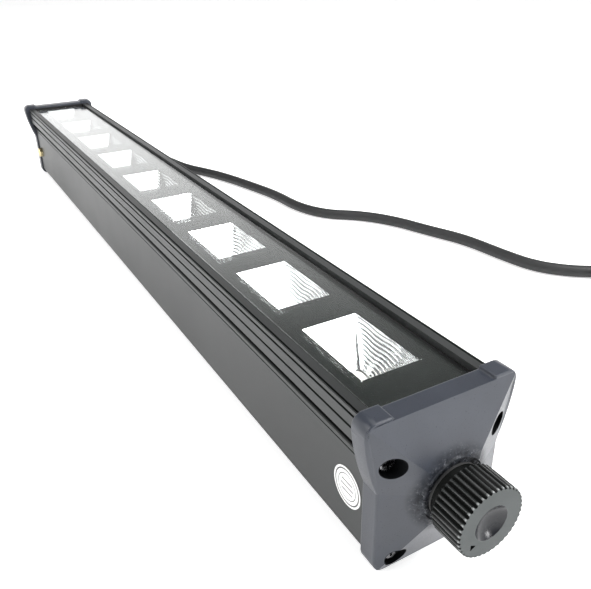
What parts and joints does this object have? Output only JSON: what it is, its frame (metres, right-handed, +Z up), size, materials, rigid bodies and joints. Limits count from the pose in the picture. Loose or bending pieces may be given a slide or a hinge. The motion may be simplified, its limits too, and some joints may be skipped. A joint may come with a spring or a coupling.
{
  "type": "led strip batten",
  "caption": "Slim stage wash bar: aluminium extrusion with a flat window over metallised reflector cells, moulded end caps, ribbed clamping knobs and a mains lead.",
  "frame": {"origin": "bottom centre of the bar, on the surface that its end caps rest on", "axes": "+X along the bar towards the end with the round label, +Y towards the side that the lead leaves, +Z up towards the window"},
  "size_m": [0.511, 0.2778, 0.0546],
  "materials": {
    "anodised_aluminium": "matte dark anodised",
    "clear_glass": "clear polished",
    "black_mask": "black screen-printed film",
    "black_silicone": "matte",
    "thermal_pad": "matte",
    "white_board": "white solder resist",
    "zinc_steel": "zinc plated",
    "led_silicone": "clear moulded silicone",
    "white_ceramic": "fine ceramic",
    "metallised_plastic": "vacuum metallised",
    "insulation_film": "translucent film",
    "white_nylon": "moulded",
    "green_board": "solder resist",
    "ferrite": "ground ferrite",
    "capacitor_sleeve": "heat-shrunk sleeve",
    "green_plastic": "moulded",
    "wire_insulation": "extruded",
    "cap_plastic": "matte moulded, blue-grey",
    "brass": "turned",
    "black_steel": "black zinc",
    "knob_plastic": "satin moulded",
    "washer_rubber": "matte",
    "bush_rubber": "matte",
    "black_nylon": "moulded",
    "cord_rubber": "matte",
    "plug_plastic": "moulded",
    "plug_metal": "nickel-free brass",
    "white_label": "paper label"
  },
  "bodies": {
    "root": {"board_screws": "zinc_steel", "bulk_capacitor": "capacitor_sleeve", "bush_nut": "black_nylon", "cable_bush": "bush_rubber", "cord_coil": "cord_rubber", "cord_lead": "cord_rubber", "driver_board": "green_board", "driver_screws": "zinc_steel", "driver_standoffs": "white_nylon", "earth_nut": "zinc_steel", "earth_screw": "brass", "far_cap_screws": "black_steel", "far_end_cap": "cap_plastic", "far_gasket": "black_silicone", "far_insert": "brass", "filter_choke": "ferrite", "housing_extrusion": "anodised_aluminium", "insulation_sheet": "insulation_film", "led_board": "white_board", "led_domes": "led_silicone", "led_package_1": "white_ceramic", "led_package_2": "white_ceramic", "led_package_3": "white_ceramic", "led_package_4": "white_ceramic", "led_package_5": "white_ceramic", "led_package_6": "white_ceramic", "led_package_7": "white_ceramic", "led_package_8": "white_ceramic", "led_package_9": "white_ceramic", "led_wires": "wire_insulation", "mains_wires": "wire_insulation", "near_cap_screws": "black_steel", "near_end_cap": "cap_plastic", "near_gasket": "black_silicone", "near_insert": "brass", "plug_body": "plug_plastic", "plug_pins": "plug_metal", "reflector_1": "metallised_plastic", "reflector_2": "metallised_plastic", "reflector_3": "metallised_plastic", "reflector_4": "metallised_plastic", "reflector_5": "metallised_plastic", "reflector_6": "metallised_plastic", "reflector_7": "metallised_plastic", "reflector_8": "metallised_plastic", "reflector_9": "metallised_plastic", "round_label": "white_label", "terminal_blocks": "green_plastic", "thermal_pad": "thermal_pad", "transformer": "ferrite", "window_glass": "clear_glass", "window_mask": "black_mask", "window_seal": "black_silicone"},
    "near_knob_travel": {"near_knob_washer": "washer_rubber"},
    "near_knob_grip": {"near_knob": "knob_plastic", "near_knob_stud": "zinc_steel"},
    "far_knob_travel": {"far_knob_washer": "washer_rubber"},
    "far_knob_grip": {"far_knob": "knob_plastic", "far_knob_stud": "zinc_steel"}
  },
  "joints": [
    {"name": "near_knob_advance", "type": "slide", "parent": "root", "child": "near_knob_travel", "axis": [1, 0, 0], "range_m": [0, 0.0041]},
    {"name": "near_knob_turn", "type": "hinge", "parent": "near_knob_travel", "child": "near_knob_grip", "pos_m": [0.2411, 0, 0.0271], "axis": [1, 0, 0], "range_deg": [0, 1440]},
    {"name": "far_knob_advance", "type": "slide", "parent": "root", "child": "far_knob_travel", "axis": [-1, 0, 0], "range_m": [0, 0.0041]},
    {"name": "far_knob_turn", "type": "hinge", "parent": "far_knob_travel", "child": "far_knob_grip", "pos_m": [-0.2411, 0, 0.0271], "axis": [-1, 0, 0], "range_deg": [0, 1440]}
  ],
  "couplings": [
    {"joint": "near_knob_advance", "follows": "near_knob_turn", "m_per_rad": 0.00015915},
    {"joint": "far_knob_advance", "follows": "far_knob_turn", "m_per_rad": 0.00015915}
  ]
}
